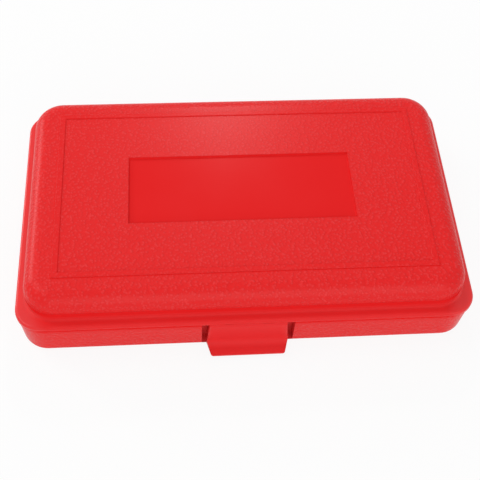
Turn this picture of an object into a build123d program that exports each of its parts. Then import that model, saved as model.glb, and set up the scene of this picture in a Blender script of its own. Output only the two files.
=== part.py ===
"""Precision tool case: a shallow moulded case with a domed lid, a rear hinge and one front latch.

The origin is on the table under the middle of the case. X runs along the case, -Y is the
front with the latch, and +Z is up. All sizes are in millimetres.
"""
import os
from math import cos, radians

from build123d import *

os.makedirs("parts", exist_ok=True)

# Overall sizes of the closed case
case_length = 230.0
case_depth = 138.0
parting_height = 22.5
parting_chamfer = 0.4
parting_chamfer_slope = 45.0
lid_top_height = 41.0
rim_corner_radius = 12.7
case_front = -case_depth / 2
case_back = case_depth / 2

# Base shell
base_wall = 2.6
base_floor = 2.4
base_draft = 3.0
base_bottom_radius = 4.0
base_corner_radius = 14.4
base_inside_chamfer = 1.5
foot_border = 16.0
foot_recess = 0.8
lip_thickness = 1.2
lip_height = 1.2
lip_clearance = 0.2

# Lid shell
lid_wall = 1.8
rim_height = 3.0
rim_front_width = 4.7
rim_side_width = 4.6
rim_back_width = 2.4
rim_edge_radius = 1.4
rim_cove = 0.9
dome_draft = 2.0
dome_corner_radius = 15.5
dome_edge_radius = 8.5
dome_inside_chamfer = 4.5
dome_length = case_length - 2 * rim_side_width
dome_depth = case_depth - rim_front_width - rim_back_width
dome_centre_y = (rim_front_width - rim_back_width) / 2
rim_top = parting_height + rim_height
dome_height = lid_top_height - rim_top
ceiling_height = lid_top_height - lid_wall

# Raised frame and label recess on the lid
frame_centre_y = 2.25
frame_length = 191.4
frame_width = 104.0
frame_bead_width = 3.2
frame_bead_height = 0.5
frame_bead_chamfer = 0.3
label_length = 117.0
label_width = 42.3
label_depth = 1.2
label_wall_slope = 20.0
label_backing_margin = 2.0

# Rear hinge
hinge_radius = 3.4
hinge_wall_gap = 0.2
hinge_y = case_back + hinge_radius + hinge_wall_gap
hinge_z = parting_height
hinge_group_x = 62.0
knuckle_count = 3
knuckle_length = 12.0
knuckle_gap = 0.4
knuckle_pitch = knuckle_length + knuckle_gap
hinge_group_length = knuckle_count * knuckle_length + (knuckle_count - 1) * knuckle_gap
hinge_pin_radius = 1.25
hinge_fixed_bore = 1.27
hinge_running_bore = 1.30
hinge_pin_inset = 0.8
web_overlap = 1.0
web_slope = 45.0

# Recess in the front wall that the latch hangs in
recess_width = 46.5
recess_depth = 6.4
recess_wall = 1.8
recess_back = case_front + recess_depth

# Latch and its pin
latch_face = case_front - 0.1
latch_barrel_radius = 2.55
latch_pivot_y = latch_face + latch_barrel_radius
latch_pivot_z = 19.85
latch_plate = 1.8
latch_top_half_width = 19.5
latch_low_half_width = 20.9
latch_lip_half_width = 18.7
latch_lip_reach = 7.0
latch_lip_front = case_front - latch_lip_reach
latch_lip_low = 2.7
latch_lip_tip_thickness = 1.3
latch_lip_root_thickness = 2.3
latch_lip_cove = 4.0
latch_low_level = 6.0
latch_pin_radius = 0.75
latch_pin_fixed_bore = 0.77
latch_pin_running_bore = 0.80
latch_pin_half_length = 17.6
latch_bore_half_length = 18.0
latch_cheek_thickness = 1.4
latch_corner_radius = 1.5
latch_edge_radius = 1.0

# Ears of the lid that carry the latch pin
ear_x = 10.0
ear_thickness = 4.0
ear_radius = 1.5
ear_side_gap = 0.15
ear_pocket_radius = 1.65
ear_pocket_reach = 3.8
ear_leg_front = latch_pivot_y + 1.95
ear_leg_back = recess_back - 0.2
ear_web_top = 0.9

# Snap bead on the latch and catch on the base
catch_half_width = 15.0
catch_low = 9.8
catch_high = 11.2
catch_root_high = 12.6
snap_gap = 0.15
bead_depth = 0.7
bead_height = 2.0
bead_half_width = 14.0
catch_front = latch_face + latch_plate + bead_depth + snap_gap
gusset_spacing = 12.0
gusset_thickness = 1.6
gusset_low = 6.0

# Tool tray in the base
tray_clearance = 0.5
tray_wall = 1.6
tray_floor = 1.6
tray_height = 18.6
tray_deck = 1.5
tray_half_length = 110.4
tray_front = recess_back + recess_wall + 1.0
tray_back = 64.6
tray_corner_radius = 8.0
tray_bottom_chamfer = 2.0
pocket_corner_radius = 4.0
bay_back = 8.0
bin_count = 3
tray_depth = tray_back - tray_front
tray_centre_y = (tray_front + tray_back) / 2
pocket_length = 2 * (tray_half_length - tray_wall)
pocket_floor = base_floor + tray_floor
tray_top = base_floor + tray_height
bay_front = tray_front + tray_wall
bay_depth = bay_back - bay_front
bin_front = bay_back + tray_wall
bin_depth = tray_back - tray_wall - bin_front
bin_length = (pocket_length - (bin_count - 1) * tray_wall) / bin_count

# Racks that hold the tool shafts in the long bay
rack_x = 62.0
rack_thickness = 4.0
rack_height = 10.5
rack_end_gap = 0.3
rack_notch_depth = 3.5
rack_notch_count = 5
rack_notch_pitch = 12.0
rack_corner_radius = 1.6
rack_rib_thickness = 1.2
rack_rib_height = 2.5
rack_rib_gap = 0.1

# Foam pad glued to the ceiling of the lid
pad_length = 196.0
pad_width = 104.0
pad_thickness = 5.0
pad_corner_radius = 8.0


def knuckle_start(group_x, index):
    """The X at which one knuckle of a hinge group begins."""
    return group_x - hinge_group_length / 2 + index * knuckle_pitch


def hinge_knuckle(start_x, web_corners):
    """Add one knuckle and the web that joins it to its shell."""
    with BuildSketch(Plane.YZ.offset(start_x)) as knuckle_profile:
        with Locations((hinge_y, hinge_z)):
            Circle(hinge_radius)
        with BuildLine():
            Polyline(*web_corners, close=True)
        make_face()
    extrude(knuckle_profile.sketch, amount=knuckle_length)


def hinge_bore(group_x, radius):
    """Cut the pin's bore through a whole hinge group."""
    with BuildSketch(Plane.YZ.offset(group_x - hinge_group_length / 2)) as bore_profile:
        with Locations((hinge_y, hinge_z)):
            Circle(radius)
    extrude(bore_profile.sketch, amount=hinge_group_length, mode=Mode.SUBTRACT)


# Space inside the base
with BuildPart() as base_hollow:
    with BuildSketch(Plane.XY.offset(parting_height)):
        RectangleRounded(
            case_length - 2 * base_wall, case_depth - 2 * base_wall, rim_corner_radius - base_wall
        )
    extrude(amount=-(parting_height - base_floor), taper=base_draft)
    chamfer(base_hollow.faces().sort_by(Axis.Z)[0].edges(), length=base_inside_chamfer)

# Base shell with its locating lip, latch recess, catch and hinge knuckles
with BuildPart() as base_shell:
    with BuildSketch(Plane.XY.offset(parting_height - parting_chamfer)) as base_outline:
        RectangleRounded(case_length, case_depth, base_corner_radius)
    extrude(amount=parting_chamfer - parting_height, taper=base_draft)
    fillet(base_shell.faces().sort_by(Axis.Z)[0].edges(), radius=base_bottom_radius)
    extrude(base_outline.sketch, amount=parting_chamfer, taper=parting_chamfer_slope)

    web_touch = hinge_radius * cos(radians(web_slope))
    base_web = [
        (case_back - web_overlap, hinge_z - knuckle_gap / 2),
        (hinge_y, hinge_z - knuckle_gap / 2),
        (hinge_y + web_touch, hinge_z - web_touch),
        (
            case_back - web_overlap,
            hinge_z - web_touch - (hinge_y + web_touch - case_back + web_overlap),
        ),
    ]
    for group_x in (-hinge_group_x, hinge_group_x):
        for index in range(0, knuckle_count, 2):
            hinge_knuckle(knuckle_start(group_x, index), base_web)
        hinge_bore(group_x, hinge_fixed_bore)

    add(base_hollow.part, mode=Mode.SUBTRACT)

    with BuildSketch(Plane.XY.offset(parting_height)):
        RectangleRounded(
            case_length - 2 * (base_wall - lip_thickness),
            case_depth - 2 * (base_wall - lip_thickness),
            rim_corner_radius - base_wall + lip_thickness,
        )
        RectangleRounded(
            case_length - 2 * base_wall,
            case_depth - 2 * base_wall,
            rim_corner_radius - base_wall,
            mode=Mode.SUBTRACT,
        )
    extrude(amount=lip_height)

    with BuildSketch(Plane.XY.offset(base_floor / 2)):
        with Locations((0, case_front + base_wall)):
            Rectangle(
                recess_width + 2 * recess_wall,
                recess_depth + recess_wall - base_wall,
                align=(Align.CENTER, Align.MIN),
            )
    extrude(amount=parting_height - base_floor / 2)
    with BuildSketch(Plane.XY.offset(base_floor)):
        with Locations((0, recess_back)):
            Rectangle(recess_width, 2 * recess_depth, align=(Align.CENTER, Align.MAX))
    extrude(amount=parting_height, mode=Mode.SUBTRACT)

    with BuildSketch(Plane.YZ.offset(-catch_half_width)):
        with BuildLine():
            Polyline(
                (recess_back, catch_low),
                (catch_front, catch_low),
                (catch_front, catch_high),
                (recess_back, catch_root_high),
                close=True,
            )
        make_face()
    extrude(amount=2 * catch_half_width)
    for gusset_x in (-gusset_spacing, 0, gusset_spacing):
        with BuildSketch(Plane.YZ.offset(gusset_x - gusset_thickness / 2)):
            with BuildLine():
                Polyline(
                    (recess_back, gusset_low), (catch_front, catch_low), (recess_back, catch_low), close=True
                )
            make_face()
        extrude(amount=gusset_thickness)

    with BuildSketch(Plane.XY):
        RectangleRounded(case_length - 2 * foot_border, case_depth - 2 * foot_border, rim_corner_radius)
    extrude(amount=foot_recess, mode=Mode.SUBTRACT)

# Space inside the lid
with BuildPart() as lid_hollow:
    with BuildSketch(Plane.XY.offset(parting_height)):
        with Locations((0, dome_centre_y)):
            RectangleRounded(
                dome_length - 2 * lid_wall, dome_depth - 2 * lid_wall, dome_corner_radius - lid_wall
            )
    extrude(amount=ceiling_height - parting_height, taper=dome_draft)
    chamfer(lid_hollow.faces().sort_by(Axis.Z)[-1].edges(), length=dome_inside_chamfer)

# Lid shell with its rim, dome, hinge knuckles, latch ears, label recess and raised frame
with BuildPart() as lid_shell:
    with BuildSketch(Plane.XY.offset(parting_height)):
        RectangleRounded(case_length, case_depth, rim_corner_radius)
    extrude(amount=rim_height)
    fillet(lid_shell.faces().sort_by(Axis.Z)[-1].edges(), radius=rim_edge_radius)
    chamfer(lid_shell.faces().sort_by(Axis.Z)[0].edges(), length=parting_chamfer)
    with BuildSketch(Plane.XY.offset(rim_top)):
        with Locations((0, dome_centre_y)):
            RectangleRounded(dome_length, dome_depth, dome_corner_radius)
    extrude(amount=dome_height, taper=dome_draft)
    fillet(lid_shell.faces().sort_by(Axis.Z)[-1].edges(), radius=dome_edge_radius)
    rim_land = lid_shell.faces().filter_by(Axis.Z).sort_by(Axis.Z)[1]
    chamfer(rim_land.inner_wires().edges(), length=rim_cove)

    lid_web = [
        (case_back - web_overlap, hinge_z + knuckle_gap / 2),
        (hinge_y, hinge_z + knuckle_gap / 2),
        (hinge_y, hinge_z + hinge_radius),
        (case_back - rim_back_width - web_overlap, hinge_z + hinge_radius),
        (case_back - rim_back_width - web_overlap, rim_top - web_overlap),
        (case_back - web_overlap, rim_top - web_overlap),
    ]
    for group_x in (-hinge_group_x, hinge_group_x):
        for index in range(1, knuckle_count, 2):
            hinge_knuckle(knuckle_start(group_x, index), lid_web)
        hinge_bore(group_x, hinge_running_bore)

    add(lid_hollow.part, mode=Mode.SUBTRACT)

    lid_step = base_wall - lip_thickness - lip_clearance
    with BuildSketch(Plane.XY.offset(parting_height)):
        RectangleRounded(case_length - 2 * lid_step, case_depth - 2 * lid_step, rim_corner_radius - lid_step)
    extrude(amount=lip_height + lip_clearance, mode=Mode.SUBTRACT)

    with BuildSketch(Plane.XY.offset(ceiling_height - label_depth)):
        with Locations((0, frame_centre_y)):
            Rectangle(label_length + 2 * label_backing_margin, label_width + 2 * label_backing_margin)
    extrude(amount=label_depth + lid_wall / 2)
    with BuildSketch(Plane.XY.offset(lid_top_height)):
        with Locations((0, frame_centre_y)):
            Rectangle(label_length, label_width)
    extrude(amount=-label_depth, taper=label_wall_slope, mode=Mode.SUBTRACT)

    with BuildSketch(Plane.XY.offset(lid_top_height)):
        with Locations((0, frame_centre_y)):
            Rectangle(frame_length, frame_width)
            Rectangle(
                frame_length - 2 * frame_bead_width, frame_width - 2 * frame_bead_width, mode=Mode.SUBTRACT
            )
    extrude(amount=frame_bead_height)
    chamfer(lid_shell.faces().sort_by(Axis.Z)[-1].edges(), length=frame_bead_chamfer)

    for side in (-1, 1):
        with BuildSketch(Plane.YZ.offset(side * ear_x - ear_thickness / 2)):
            with Locations((latch_pivot_y, latch_pivot_z)):
                Circle(ear_radius)
            with Locations((latch_pivot_y, latch_pivot_z - ear_radius)):
                Rectangle(
                    ear_leg_back - latch_pivot_y, ear_radius + ear_web_top, align=(Align.MIN, Align.MIN)
                )
            with Locations((ear_leg_front, latch_pivot_z - ear_radius)):
                Rectangle(
                    ear_leg_back - ear_leg_front,
                    rim_top - rim_height / 4 - latch_pivot_z + ear_radius,
                    align=(Align.MIN, Align.MIN),
                )
        extrude(amount=ear_thickness)
    with BuildSketch(Plane.YZ.offset(-recess_width / 2)):
        with Locations((latch_pivot_y, latch_pivot_z)):
            Circle(latch_pin_fixed_bore)
    extrude(amount=recess_width, mode=Mode.SUBTRACT)

# Latch: a plate with a barrel round its pin, a flared finger lip, side cheeks and a snap bead
with BuildPart() as latch:
    plate_back = latch_face + latch_plate
    lip_root = latch_lip_low + latch_lip_root_thickness
    lip_tip = latch_lip_low + latch_lip_tip_thickness
    cheek_back = latch_pivot_y + latch_barrel_radius
    cheek_inside = latch_low_half_width - latch_cheek_thickness
    with BuildSketch(Plane.XZ.offset(-recess_back)):
        with BuildLine():
            Polyline(
                (-latch_low_half_width, latch_lip_low),
                (-latch_top_half_width, parting_height),
                (latch_top_half_width, parting_height),
                (latch_low_half_width, latch_lip_low),
                close=True,
            )
        make_face()
    extrude(amount=recess_back - latch_face)
    front_face = latch.faces().sort_by(Axis.Y)[0]
    fillet(front_face.edges().filter_by(Axis.X, reverse=True), radius=latch_edge_radius)
    with BuildSketch(Plane.YZ.offset(-latch_low_half_width)):
        with BuildLine():
            Polyline(
                (latch_face, latch_pivot_z),
                (latch_face, latch_lip_low),
                (plate_back, latch_lip_low),
                (plate_back, latch_low_level),
                (cheek_back, latch_low_level),
                (cheek_back, latch_pivot_z),
            )
            ThreePointArc(
                (cheek_back, latch_pivot_z),
                (latch_pivot_y, latch_pivot_z + latch_barrel_radius),
                (latch_face, latch_pivot_z),
            )
        make_face()
    extrude(amount=2 * latch_low_half_width, mode=Mode.INTERSECT)

    with BuildSketch(Plane.XY.offset(latch_lip_low)):
        with BuildLine():
            Polyline(
                (-latch_low_half_width, latch_face + latch_edge_radius),
                (-latch_lip_half_width, latch_lip_front),
                (latch_lip_half_width, latch_lip_front),
                (latch_low_half_width, latch_face + latch_edge_radius),
                close=True,
            )
        make_face()
    extrude(amount=latch_lip_root_thickness + latch_lip_cove)
    with BuildSketch(Plane.YZ.offset(-latch_low_half_width)) as finger_room:
        with BuildLine():
            Polyline(
                (latch_face, parting_height),
                (latch_face, lip_root),
                (latch_lip_front, lip_tip),
                (latch_lip_front, parting_height),
                close=True,
            )
        make_face()
        fillet(finger_room.vertices().group_by(Axis.Y)[1], radius=latch_lip_cove)
    extrude(amount=2 * latch_low_half_width, mode=Mode.SUBTRACT)
    lip_corners = latch.edges().filter_by(Axis.Z).group_by(Axis.Y)[0]
    fillet(lip_corners, radius=latch_corner_radius)

    with BuildSketch(Plane.YZ.offset(-cheek_inside)):
        with Locations((plate_back, latch_lip_low)):
            Rectangle(
                recess_back - plate_back, latch_pivot_z - latch_lip_low, align=(Align.MIN, Align.MIN)
            )
        with Locations((latch_pivot_y, latch_pivot_z)):
            Circle(latch_barrel_radius, mode=Mode.SUBTRACT)
    extrude(amount=2 * cheek_inside, mode=Mode.SUBTRACT)

    with BuildSketch(Plane.YZ.offset(-latch_bore_half_length)):
        with Locations((latch_pivot_y, latch_pivot_z)):
            Circle(latch_pin_running_bore)
    extrude(amount=2 * latch_bore_half_length, mode=Mode.SUBTRACT)

    # Room for the two ears: a round pocket behind a thin skin that covers them from the front
    for side in (-1, 1):
        with BuildSketch(Plane.YZ.offset(side * ear_x - ear_thickness / 2 - ear_side_gap)):
            with Locations((latch_pivot_y, latch_pivot_z)):
                Circle(ear_pocket_radius)
            with BuildLine():
                Polyline(
                    (latch_pivot_y, latch_pivot_z),
                    (latch_pivot_y - ear_pocket_reach, latch_pivot_z + ear_pocket_reach),
                    (recess_back, latch_pivot_z + ear_pocket_reach),
                    (recess_back, latch_pivot_z - ear_pocket_reach),
                    (plate_back, latch_pivot_z - ear_pocket_reach),
                    (plate_back, latch_pivot_z),
                    close=True,
                )
            make_face()
        extrude(amount=ear_thickness + 2 * ear_side_gap, mode=Mode.SUBTRACT)
    bead_top = catch_low - snap_gap
    with BuildSketch(Plane.YZ.offset(-bead_half_width)):
        with BuildLine():
            Polyline(
                (latch_face + latch_plate / 2, bead_top),
                (plate_back, bead_top),
                (plate_back + bead_depth, bead_top - bead_height / 4),
                (plate_back + bead_depth, bead_top - bead_height / 2),
                (plate_back, bead_top - bead_height),
                (latch_face + latch_plate / 2, bead_top - bead_height),
                close=True,
            )
        make_face()
    extrude(amount=2 * bead_half_width)

# Steel pin that the latch turns on, fixed in the ears of the lid
with BuildPart() as latch_pin:
    with BuildSketch(Plane.YZ.offset(-latch_pin_half_length)):
        with Locations((latch_pivot_y, latch_pivot_z)):
            Circle(latch_pin_radius)
    extrude(amount=2 * latch_pin_half_length)

# Steel pins of the rear hinge, fixed in the knuckles of the base
hinge_pins = {}
for pin_name, group_x in (("hinge_pin_left", -hinge_group_x), ("hinge_pin_right", hinge_group_x)):
    with BuildPart() as hinge_pin:
        with BuildSketch(Plane.YZ.offset(group_x - hinge_group_length / 2 + hinge_pin_inset)):
            with Locations((hinge_y, hinge_z)):
                Circle(hinge_pin_radius)
        extrude(amount=hinge_group_length - 2 * hinge_pin_inset)
    hinge_pins[pin_name] = hinge_pin.part

# Pockets of the tool tray: one long bay in front and a row of bins behind it
with BuildPart() as tray_pockets:
    with BuildSketch(Plane.XY.offset(tray_top)):
        with Locations((0, bay_front + bay_depth / 2)):
            RectangleRounded(pocket_length, bay_depth, pocket_corner_radius)
        with Locations((0, bin_front + bin_depth / 2)):
            with GridLocations(bin_length + tray_wall, 0, bin_count, 1):
                RectangleRounded(bin_length, bin_depth, pocket_corner_radius)
    extrude(amount=pocket_floor - tray_top)

# Tool tray that drops into the base, with a deck that covers the gap to the base's walls
with BuildPart() as tool_tray:
    with BuildSketch(Plane.XY.offset(base_floor)):
        with Locations((0, tray_centre_y)):
            RectangleRounded(2 * tray_half_length, tray_depth, tray_corner_radius)
    extrude(amount=tray_height)
    chamfer(tool_tray.faces().sort_by(Axis.Z)[0].edges(), length=tray_bottom_chamfer)
    deck_inset = base_wall + tray_clearance
    with BuildSketch(Plane.XY.offset(tray_top - tray_deck)):
        RectangleRounded(
            case_length - 2 * deck_inset, case_depth - 2 * deck_inset, rim_corner_radius - deck_inset
        )
        with Locations((0, tray_front)):
            Rectangle(
                recess_width + 2 * recess_wall + 2 * tray_clearance,
                tray_front - case_front,
                align=(Align.CENTER, Align.MAX),
                mode=Mode.SUBTRACT,
            )
    extrude(amount=tray_deck)
    add(tray_pockets.part, mode=Mode.SUBTRACT)
    for side in (-1, 1):
        for edge_side in (-1, 1):
            rib_x = side * rack_x + edge_side * (rack_thickness / 2 + rack_rib_gap + rack_rib_thickness / 2)
            with BuildSketch(Plane.XY.offset(pocket_floor - tray_floor / 2)):
                with Locations((rib_x, bay_front + bay_depth / 2)):
                    Rectangle(rack_rib_thickness, bay_depth + tray_wall)
            extrude(amount=rack_rib_height + tray_floor / 2)

# Notched racks that hold the shafts of the tools in the long bay
racks = {}
for rack_name, centre_x in (("tool_rack_left", -rack_x), ("tool_rack_right", rack_x)):
    with BuildPart() as tool_rack:
        with BuildSketch(Plane.YZ.offset(centre_x - rack_thickness / 2)) as rack_profile:
            with Locations((bay_front + bay_depth / 2, pocket_floor)):
                Rectangle(bay_depth - 2 * rack_end_gap, rack_height, align=(Align.CENTER, Align.MIN))
            fillet(rack_profile.vertices(), radius=rack_corner_radius)
            with Locations((bay_front + bay_depth / 2, pocket_floor + rack_height)):
                with GridLocations(rack_notch_pitch, 0, rack_notch_count, 1):
                    RegularPolygon(rack_notch_depth, side_count=4, mode=Mode.SUBTRACT)
        extrude(amount=rack_thickness)
    racks[rack_name] = tool_rack.part

# Foam pad on the ceiling of the lid, cut out round the back of the label recess
with BuildPart() as lid_pad:
    with BuildSketch(Plane.XY.offset(ceiling_height - pad_thickness)):
        with Locations((0, dome_centre_y)):
            RectangleRounded(pad_length, pad_width, pad_corner_radius)
    extrude(amount=pad_thickness)
    with BuildSketch(Plane.XY.offset(ceiling_height)):
        with Locations((0, frame_centre_y)):
            Rectangle(label_length + 2 * label_backing_margin, label_width + 2 * label_backing_margin)
    extrude(amount=-label_depth, mode=Mode.SUBTRACT)

pieces = {
    "base_shell": base_shell.part,
    "lid_shell": lid_shell.part,
    "latch": latch.part,
    "latch_pin": latch_pin.part,
    "tool_tray": tool_tray.part,
    "lid_pad": lid_pad.part,
    **hinge_pins,
    **racks,
}
for name, piece in pieces.items():
    piece.label = name
    export_step(piece, f"parts/{name}.step")
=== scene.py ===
from math import cos, radians, sin

import bmesh
import bpy
from mathutils import Matrix, Vector


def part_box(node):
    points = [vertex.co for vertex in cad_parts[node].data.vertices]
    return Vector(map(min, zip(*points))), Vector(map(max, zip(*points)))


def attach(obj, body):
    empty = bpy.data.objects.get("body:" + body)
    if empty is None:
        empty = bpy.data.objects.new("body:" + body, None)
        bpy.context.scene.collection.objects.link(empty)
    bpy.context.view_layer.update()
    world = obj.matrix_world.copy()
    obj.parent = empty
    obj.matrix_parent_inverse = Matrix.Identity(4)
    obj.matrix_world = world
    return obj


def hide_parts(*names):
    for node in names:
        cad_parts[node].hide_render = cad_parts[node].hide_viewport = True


# Looks of a moulded tool case: pebbled red plastic, a black tray, foam and steel pins.
# All places are in metres. The origin is on the table under the middle of the case, X runs
# along it, -Y is the front with the latch and +Z is up.
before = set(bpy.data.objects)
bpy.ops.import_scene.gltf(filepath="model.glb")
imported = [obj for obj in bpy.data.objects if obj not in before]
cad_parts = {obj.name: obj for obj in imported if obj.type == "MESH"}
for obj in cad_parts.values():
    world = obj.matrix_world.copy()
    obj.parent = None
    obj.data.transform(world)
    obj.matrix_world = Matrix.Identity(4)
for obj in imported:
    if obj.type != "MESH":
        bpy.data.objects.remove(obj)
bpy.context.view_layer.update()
mm = 0.001

# Places on the case that the finishes follow. A pair is where a fade starts and ends.
parting_line = 22.5 * mm
parting_groove = 0.6 * mm
case_half_depth = 69.1 * mm
outer_wall_reach = 20.0 * mm
base_grain_fade = (19.5 * mm, 22.0 * mm)
recess_middle = -66.0 * mm
recess_half_length = 23.4 * mm
recess_half_depth = 3.4 * mm
rim_bottom = 23.6 * mm
rim_top = 28.0 * mm
rim_end_fade = (98.0 * mm, 108.0 * mm)
lid_grain_fade = (30.6 * mm, 31.0 * mm)
lid_top = 41.0 * mm
frame_middle = 2.25 * mm
frame_half_length = 95.7 * mm
frame_half_width = 52.0 * mm
frame_bead = 3.2 * mm
frame_line_width = 0.55 * mm
frame_front_fade = (-48.0 * mm, -40.0 * mm)
label_half_length = 58.5 * mm
label_half_width = 21.15 * mm

# Colours, as the shares of red, green and blue light that they send back
red_plastic = (0.80, 0.0155, 0.0160)
red_pale = (0.88, 0.057, 0.060)
# Painted shade: the red that the parting line and the frame's foot are tinted towards
red_painted_shade = (0.82, 0.007, 0.007)
tray_plastic = (0.018, 0.018, 0.020)
tray_pale_tone = (0.0568, 0.0568, 0.062)
rack_plastic = (0.030, 0.030, 0.032)
rack_pale_tone = (0.088, 0.088, 0.0932)
foam_dark = (0.040, 0.041, 0.046)
foam_pale = (0.088, 0.0902, 0.1012)
steel_bright = (0.56, 0.56, 0.57)
steel_dull = (0.42, 0.42, 0.43)
white = (1.0, 1.0, 1.0)

# The value that a noise lies around
noise_middle = 0.5


class Level:
    """What a node puts out. Python's operators on a number from a node add the Math nodes."""

    def __init__(self, nodes, socket):
        self.nodes = nodes
        self.socket = socket

    def math(self, operation, *values):
        return self.nodes.add("Math", {"operation": operation}, dict(enumerate(values)))

    def __add__(self, other):
        return self.math("ADD", self, other)

    def __sub__(self, other):
        return self.math("SUBTRACT", self, other)

    def __rsub__(self, other):
        return self.math("SUBTRACT", other, self)

    def __mul__(self, other):
        return self.math("MULTIPLY", self, other)

    def __or__(self, other):
        return self.math("MAXIMUM", self, other)

    def __gt__(self, other):
        return self.math("GREATER_THAN", self, other)

    def __lt__(self, other):
        return self.math("LESS_THAN", self, other)

    def __abs__(self):
        return self.math("ABSOLUTE", self)

    __radd__ = __add__
    __rmul__ = __mul__
    __ror__ = __or__

    def ramp(self, low, high, start=0.0, end=1.0):
        """Runs smoothly from start to end as this number runs from low to high."""
        sockets = {"Value": self, "From Min": low, "From Max": high, "To Min": start, "To Max": end}
        return self.nodes.add("MapRange", {"interpolation_type": "SMOOTHSTEP"}, sockets)


class Nodes:
    """The nodes of a material or of the world."""

    def __init__(self, owner):
        owner.use_nodes = True
        self.tree = owner.node_tree
        self.tree.nodes.clear()

    def add(self, kind, settings=None, sockets=None, outputs=(0,)):
        """Adds a node, sets it up, feeds its sockets and returns the outputs asked for."""
        node = self.tree.nodes.new("ShaderNode" + kind)
        for name, value in (settings or {}).items():
            setattr(node, name, value)
        for name, value in (sockets or {}).items():
            socket = node.inputs[name]
            if isinstance(value, Level):
                self.tree.links.new(value.socket, socket)
            elif socket.type == "RGBA":
                socket.default_value = (*value, 1.0)
            else:
                socket.default_value = value
        levels = [Level(self, node.outputs[name]) for name in outputs]
        return levels[0] if len(levels) == 1 else levels

    def seen_directly(self):
        """1 for what the camera, a reflection or a clear piece shows directly."""
        rays = ("Is Camera Ray", "Is Glossy Ray", "Is Transmission Ray")
        camera, mirrored, clear = self.add("LightPath", outputs=rays)
        return camera | mirrored | clear

    def show(self, surface, kind="Material"):
        """Makes surface what the material or the world shows."""
        self.add("Output" + kind, sockets={"Surface": surface}, outputs=())


class Finish(Nodes):
    """One material and the short words that it is written in."""

    def __init__(self, name):
        self.material = bpy.data.materials.new(name)
        super().__init__(self.material)
        self.place, self.facing = self.add("TexCoord", outputs=("Object", "Normal"))
        self.x, self.y, self.z = self.split(self.place)

    def split(self, vector):
        return self.add("SeparateXYZ", sockets={0: vector}, outputs=(0, 1, 2))

    def noise(self, size, detail=2.0):
        sockets = {"Vector": self.place, "Scale": 1 / size, "Detail": detail}
        return self.add("TexNoise", sockets=sockets)

    def pebbles(self, size):
        """Soft rounded bumps about as wide as size, 0 in the valleys and 1 on top."""
        sockets = {"Vector": self.place, "Scale": 1 / size, "Smoothness": 0.6}
        distance = self.add("TexVoronoi", {"feature": "SMOOTH_F1"}, sockets, ("Distance",))
        return distance.ramp(low=0.05, high=0.75, start=1.0, end=0.0)

    def tint(self, share, plain, other):
        """A colour that goes from plain to other with share."""
        return self.add("Mix", {"data_type": "RGBA"}, {0: share, 6: plain, 7: other}, (2,))

    def mix_normals(self, share, plain, other):
        """A normal that goes from plain to other with share."""
        return self.add("Mix", {"data_type": "VECTOR"}, {0: share, 4: plain, 5: other}, (1,))

    def inside_box(self, half_x, half_y, middle_y):
        return (abs(self.x) < half_x) * (abs(self.y - middle_y) < half_y)

    def soft_edges(self, radius):
        """The normal with every hard edge rounded off by radius."""
        return self.add("Bevel", {"samples": 6}, {"Radius": radius})

    def edge_share(self, softened):
        """1 on the very edge of the moulding and 0 away from it."""
        plain = self.add("NewGeometry", outputs=("Normal",))
        pair = {0: softened, 1: plain}
        agreement = self.add("VectorMath", {"operation": "DOT_PRODUCT"}, pair, ("Value",))
        return agreement.ramp(low=1.0, high=0.90)

    def bump(self, height, depth, normal=None):
        """The normal of a surface that height, from 0 to 1, raises by up to depth."""
        sockets = {"Height": height, "Distance": depth}
        if normal is not None:
            sockets["Normal"] = normal
        return self.add("Bump", sockets=sockets)

    def done(self, colour, roughness, normal, others):
        """Feeds the surface and returns the material."""
        sockets = {"Base Color": colour, "Roughness": roughness, "Normal": normal, **others}
        self.show(self.add("BsdfPrincipled", sockets=sockets))
        return self.material


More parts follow.
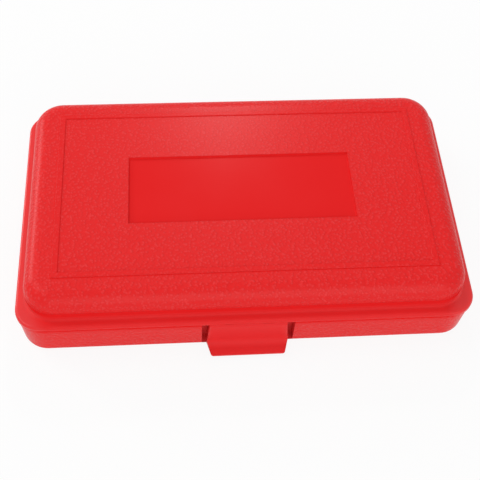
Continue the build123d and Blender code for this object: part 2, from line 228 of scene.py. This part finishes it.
def red_moulding(name, grain_of=None, shade_of=None, painted_light_of=None, lift=0.0, gloss=0.22, specular=0.05):
    """Red moulded plastic, pebbled, with painted shade along lines and painted light in places, where
    the functions given for that say so.
    """
    wall_edge = 0.45 * mm
    rim_edge = 1.8 * mm
    pebble_size = 1.5 * mm
    fine_size = 0.45 * mm
    drift_size = 6.0 * mm
    flow_size = 38.0 * mm
    bump_depth = 0.40 * mm
    pebble_height = 0.8
    smooth_height = 0.015
    # Painted highlight on the pebble tops
    pebble_highlight = 0.46
    # Painted light on the smooth rim, in the shade of the dome
    rim_painted_light = 0.24
    flow_pale = 0.03
    recess_painted_light = 0.75
    pebble_rough = 0.12
    uneven_rough = 0.03
    pebble_coat = 0.2
    rim_coat = 0.6
    coat_rough = 0.3

    finish = Finish(name)
    fine = finish.noise(fine_size, 3.0)
    drift = finish.noise(drift_size, 3.0) - noise_middle
    flow = finish.noise(flow_size).ramp(low=0.35, high=0.65)
    edges = finish.soft_edges(wall_edge)
    height = fine * smooth_height
    pale = flow * flow_pale + lift
    roughness = gloss + (drift + flow - noise_middle) * uneven_rough
    others = {"Specular IOR Level": specular}
    if grain_of:
        grain = grain_of(finish)
        rim = (finish.z > rim_bottom) * (finish.z < rim_top)
        smooth_rim = rim * (1 - grain)
        rim_end = smooth_rim * abs(finish.x).ramp(*rim_end_fade)
        pebble = finish.pebbles(pebble_size)
        pebble_top = pebble.ramp(low=0.40, high=0.95)
        grain_height = pebble * pebble_height + fine * (1 - pebble_height)
        edges = finish.mix_normals(rim, edges, finish.soft_edges(rim_edge))
        height = grain * grain_height + (1 - grain) * height
        # Painted highlight on the pebble tops and painted light on the smooth rim, added to the
        # plastic's own slow change of tone
        pale = grain * pebble_top * pebble_highlight + smooth_rim * rim_painted_light + pale
        roughness = roughness + grain * pebble_rough
        others["Coat Weight"] = grain * pebble_coat + rim_end * rim_coat
        others["Coat Roughness"] = coat_rough
    # Painted light that lightens the shaded latch recess
    if painted_light_of:
        pale = pale + painted_light_of(finish) * recess_painted_light
    # Painted shade along the parting line and around the foot of the frame
    line = parting_shadow(finish)
    if shade_of:
        line = line + shade_of(finish)
    colour = finish.tint(line, finish.tint(pale, red_plastic, red_pale), red_painted_shade)
    return finish.done(colour, roughness, finish.bump(height, bump_depth, edges), others)


def outward_wall(finish):
    """1 on the outer walls, which face away from the middle of the case."""
    out_x, out_y, _ = finish.split(finish.facing)
    return out_x * finish.x + out_y * finish.y > outer_wall_reach


def parting_shadow(finish):
    """Painted shade in the fine line where lid and base meet, on the outer walls only."""
    close = abs(finish.z - parting_line) < parting_groove
    return close * (abs(finish.y) < case_half_depth) * outward_wall(finish)


def frame_foot_shade(finish):
    """Painted shade in the fine line where the raised frame's sides meet the lid, strongest in front,
    where those sides face away from the light.
    """
    half_length = frame_half_length + frame_line_width
    half_width = frame_half_width + frame_line_width
    around = finish.inside_box(half_length, half_width, frame_middle)
    inside = finish.inside_box(frame_half_length, frame_half_width, frame_middle)
    # Painted shade, stronger in front where the frame's sides face away from the light
    strength = finish.y.ramp(*frame_front_fade, start=1.0, end=0.3)
    return around * (1 - inside) * (finish.z > lid_top - frame_line_width) * strength


def lid_grain(finish):
    """The dome's outside, a little smoother on the raised frame and bare on the label panel."""
    bead_smoothing = 0.3
    out_x, out_y, out_z = finish.split(finish.facing)
    across = out_y * (finish.y - frame_middle)
    outward = out_x * finish.x + across + out_z * (finish.z - parting_line) > 0
    inner_length = frame_half_length - frame_bead
    inner_width = frame_half_width - frame_bead
    outer = finish.inside_box(frame_half_length, frame_half_width, frame_middle)
    inner = finish.inside_box(inner_length, inner_width, frame_middle)
    bead = outer * (1 - inner)
    label = finish.inside_box(label_half_length, label_half_width, frame_middle)
    return outward * finish.z.ramp(*lid_grain_fade) * (1 - bead * bead_smoothing) * (1 - label)


def base_grain(finish):
    """A much finer grain on the outside of the base's walls, which ends below the parting line."""
    return outward_wall(finish) * finish.z.ramp(*base_grain_fade, start=0.36, end=0.0)


def latch_recess(finish):
    """The recess that the latch hangs in, painted paler as painted light in its shade."""
    recess = finish.inside_box(recess_half_length, recess_half_depth, recess_middle)
    return recess * (finish.z < parting_line)


def black_moulding(name, plain, pale_tone, gloss):
    """Black moulded plastic with a fine spark-eroded surface, paler on its edges from wear and a
    painted edge highlight.
    """
    edge_radius = 0.3 * mm
    grain_size = 0.35 * mm
    grain_depth = 0.04 * mm
    flow_size = 25.0 * mm
    edge_wear_and_highlight = 0.5
    flow_pale = 0.25
    grain_pale = 0.15
    uneven_rough = 0.2

    finish = Finish(name)
    edges = finish.soft_edges(edge_radius)
    grain = finish.noise(grain_size, 4.0)
    flow = finish.noise(flow_size) - noise_middle
    # Paler edges: partly wear, partly a painted edge highlight
    pale = finish.edge_share(edges) * edge_wear_and_highlight + flow * flow_pale + grain * grain_pale
    roughness = gloss + (grain - noise_middle) * uneven_rough
    normal = finish.bump(grain, grain_depth, edges)
    colour = finish.tint(pale, plain, pale_tone)
    return finish.done(colour, roughness, normal, {"Specular IOR Level": 0.45})


def open_foam(name):
    """Dark open-cell foam, its holes darkened with painted shade against the paler cell walls."""
    cell_size = 0.9 * mm
    fuzz_size = 0.3 * mm
    blotch_size = 14.0 * mm
    cell_depth = 0.35 * mm
    hole_painted_shade = 0.5
    blotch_pale = 0.4
    fuzz_pale = 0.2
    hole_height = 0.7
    roughness = 0.95

    finish = Finish(name)
    cells = finish.pebbles(cell_size)
    fuzz = finish.noise(fuzz_size, 4.0)
    blotch = finish.noise(blotch_size) - noise_middle
    # The cell tops are paler than the holes: painted shade in the holes
    pale = cells * hole_painted_shade + blotch * blotch_pale + fuzz * fuzz_pale
    height = (1 - cells) * hole_height + fuzz * (1 - hole_height)
    colour = finish.tint(pale, foam_dark, foam_pale)
    normal = finish.bump(height, cell_depth)
    return finish.done(colour, roughness, normal, {"Specular IOR Level": 0.15})


def drawn_steel(name):
    """Bright drawn wire with faint lines along its length."""
    lines_along = 60.0
    lines_across = 4000.0
    line_depth = 0.01 * mm
    plain_rough = 0.25
    line_rough = 0.2

    finish = Finish(name)
    stretch = {"Vector": finish.place, "Scale": (lines_along, lines_across, lines_across)}
    along = finish.add("Mapping", sockets=stretch)
    lines = finish.add("TexNoise", sockets={"Vector": along, "Scale": 1.0, "Detail": 3.0})
    colour = finish.tint(lines, steel_bright, steel_dull)
    roughness = plain_rough + lines * line_rough
    normal = finish.bump(lines, line_depth)
    return finish.done(colour, roughness, normal, {"Metallic": 1.0})


def dress(node, material):
    """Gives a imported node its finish."""
    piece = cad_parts[node]
    if not piece.material_slots:
        piece.data.materials.append(material)
    for holder in piece.material_slots:
        holder.material = material


def mesh_object(name, mesh, material):
    """Turns a bmesh into an object of the scene."""
    data = bpy.data.meshes.new(name)
    mesh.to_mesh(data)
    mesh.free()
    data.materials.append(material)
    return into_scene(name, data)


def into_scene(name, data):
    """Puts a new object with this data into the scene."""
    made = bpy.data.objects.new(name, data)
    bpy.context.scene.collection.objects.link(made)
    return made


def foam_pad(material):
    """The pad on the lid's ceiling: crowned towards the tools and cut out behind the label."""
    low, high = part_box("lid_pad")
    middle = (low + high) / 2
    half = (high - low) / 2
    corner_radius = 8.0 * mm
    edge_radius = 1.6 * mm
    crown = 0.7 * mm
    crown_power = 4
    strips = 30
    pocket_margin = 2.0 * mm
    pocket_depth = 1.3 * mm
    pocket_half_length = label_half_length + pocket_margin
    pocket_half_width = label_half_width + pocket_margin
    round_edges = {"profile": 0.5, "affect": "EDGES", "material": -1}

    # The block with round corners and a soft edge on its lower side
    mesh = bmesh.new()
    block = Matrix.Translation(middle) @ Matrix.Diagonal((*half, 1.0))
    bmesh.ops.create_cube(mesh, size=2.0, matrix=block)
    uprights = [e for e in mesh.edges if abs((e.verts[0].co - e.verts[1].co).z) > half.z]
    bmesh.ops.bevel(mesh, geom=uprights, offset=corner_radius, segments=8, **round_edges)
    lower_rim = [e for f in mesh.faces if f.normal.z < -0.9 for e in f.edges]
    bmesh.ops.bevel(mesh, geom=lower_rim, offset=edge_radius, segments=4, **round_edges)

    # The crown, on faces that are cut into strips both ways
    for axis in (0, 1):
        for index in range(1, strips):
            place = middle.copy()
            place[axis] = low[axis] + (high[axis] - low[axis]) * index / strips
            normal = Vector((axis == 0, axis == 1, 0))
            whole = [*mesh.verts, *mesh.edges, *mesh.faces]
            bmesh.ops.bisect_plane(mesh, geom=whole, plane_co=place, plane_no=normal)
    for vert in mesh.verts:
        if vert.co.z < middle.z:
            across = min(1.0, abs(vert.co.x - middle.x) / half.x)
            along = min(1.0, abs(vert.co.y - middle.y) / half.y)
            vert.co.z += crown * max(across**crown_power, along**crown_power)

    # The pocket in its upper side, where the label panel's underside hangs
    top = []
    for face in mesh.faces:
        centre = face.calc_center_median()
        in_length = abs(centre.x) < pocket_half_length
        in_width = abs(centre.y - frame_middle) < pocket_half_width
        if face.normal.z > 0.9 and in_length and in_width:
            top.append(face)
    pocket = bmesh.ops.extrude_face_region(mesh, geom=top)
    bmesh.ops.delete(mesh, geom=top, context="FACES")
    lowered = [v for v in pocket["geom"] if isinstance(v, bmesh.types.BMVert)]
    bmesh.ops.translate(mesh, verts=lowered, vec=Vector((0, 0, -pocket_depth)))
    bmesh.ops.recalc_face_normals(mesh, faces=mesh.faces)
    for face in mesh.faces:
        face.smooth = True

    pad = mesh_object("foam_pad", mesh, material)
    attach(pad, "lid")
    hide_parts("lid_pad")


def area_light(name, place, target, size, power):
    """A soft square lamp at place that shines at target."""
    data = bpy.data.lights.new(name, "AREA")
    data.energy = power
    data.size = size
    way = Vector(place) - Vector(target)
    turn = way.to_track_quat("Z", "Y").to_matrix().to_4x4()
    into_scene(name, data).matrix_world = Matrix.Translation(place) @ turn


def studio_world(level):
    """White where it is seen, and an even soft light of the given level on the object."""
    world = bpy.data.worlds.new("studio")
    bpy.context.scene.world = world
    nodes = Nodes(world)
    light = nodes.add("Background", sockets={"Color": white, "Strength": level})
    backdrop = nodes.add("Background", sockets={"Color": white, "Strength": 1.0})
    both = {0: nodes.seen_directly(), 1: light, 2: backdrop}
    nodes.show(nodes.add("MixShader", sockets=both), "World")


def white_floor(albedo, glow_share):
    """A pale table top that reads as white and keeps a soft shadow."""
    half_size = 3.0
    gap = 0.1 * mm
    material = bpy.data.materials.new("table_top")
    nodes = Nodes(material)
    matt = nodes.add("BsdfDiffuse", sockets={"Color": (albedo, albedo, albedo)})
    glow = nodes.add("Emission", sockets={"Color": white})
    both = {0: nodes.seen_directly() * glow_share, 1: matt, 2: glow}
    nodes.show(nodes.add("MixShader", sockets=both))
    mesh = bmesh.new()
    lowered = Matrix.Translation((0, 0, -gap))
    bmesh.ops.create_grid(mesh, x_segments=1, y_segments=1, size=half_size, matrix=lowered)
    mesh_object("floor", mesh, material)


def photo_camera():
    """The camera at the photograph's viewing angle."""
    azimuth = radians(-6.64)
    elevation = radians(56.4)
    roll = radians(3.72)
    distance = 499 * mm
    target = Vector((0.4 * mm, -4.05 * mm, 0))
    back = Vector((sin(azimuth) * cos(elevation), -cos(azimuth) * cos(elevation), sin(elevation)))
    turn = back.to_track_quat("Z", "Y").to_matrix().to_4x4() @ Matrix.Rotation(roll, 4, "Z")
    data = bpy.data.cameras.new("photo_camera")
    data.sensor_width = 36.0
    data.lens = 67.35
    data.clip_start = 0.01
    data.clip_end = 20.0
    camera = into_scene("photo_camera", data)
    camera.matrix_world = Matrix.Translation(target + back * distance) @ turn
    bpy.context.scene.camera = camera


# Finishes
dress("lid_shell", red_moulding("red_lid", lid_grain, shade_of=frame_foot_shade))
dress("base_shell", red_moulding("red_base", base_grain, painted_light_of=latch_recess, specular=0.04))
dress("latch", red_moulding("red_latch", lift=0.36, gloss=0.36))
dress("tool_tray", black_moulding("black_tray", tray_plastic, tray_pale_tone, gloss=0.48))
rack_finish = black_moulding("black_rack", rack_plastic, rack_pale_tone, gloss=0.42)
for rack in ("tool_rack_left", "tool_rack_right"):
    dress(rack, rack_finish)
steel_finish = drawn_steel("drawn_steel")
for pin in ("hinge_pin_left", "hinge_pin_right", "latch_pin"):
    dress(pin, steel_finish)
foam_pad(open_foam("lid_foam"))

# Stage, light and camera
case_middle = (0, 0, 0.02)
lid_back = (0, 0.05, 0.04)
white_floor(albedo=0.90, glow_share=0.90)
studio_world(level=0.51)
area_light("key", (-1.15, 0.45, 1.85), case_middle, size=1.0, power=8.6)
area_light("left_window", (-1.86, 1.32, 0.80), case_middle, size=0.6, power=12.0)
area_light("glare", (0.03, 0.55, 0.56), lid_back, size=0.07, power=0.75)
area_light("front_fill", (0.30, -2.2, 1.20), case_middle, size=2.2, power=25.0)
photo_camera()
bpy.context.scene.view_settings.view_transform = "Standard"
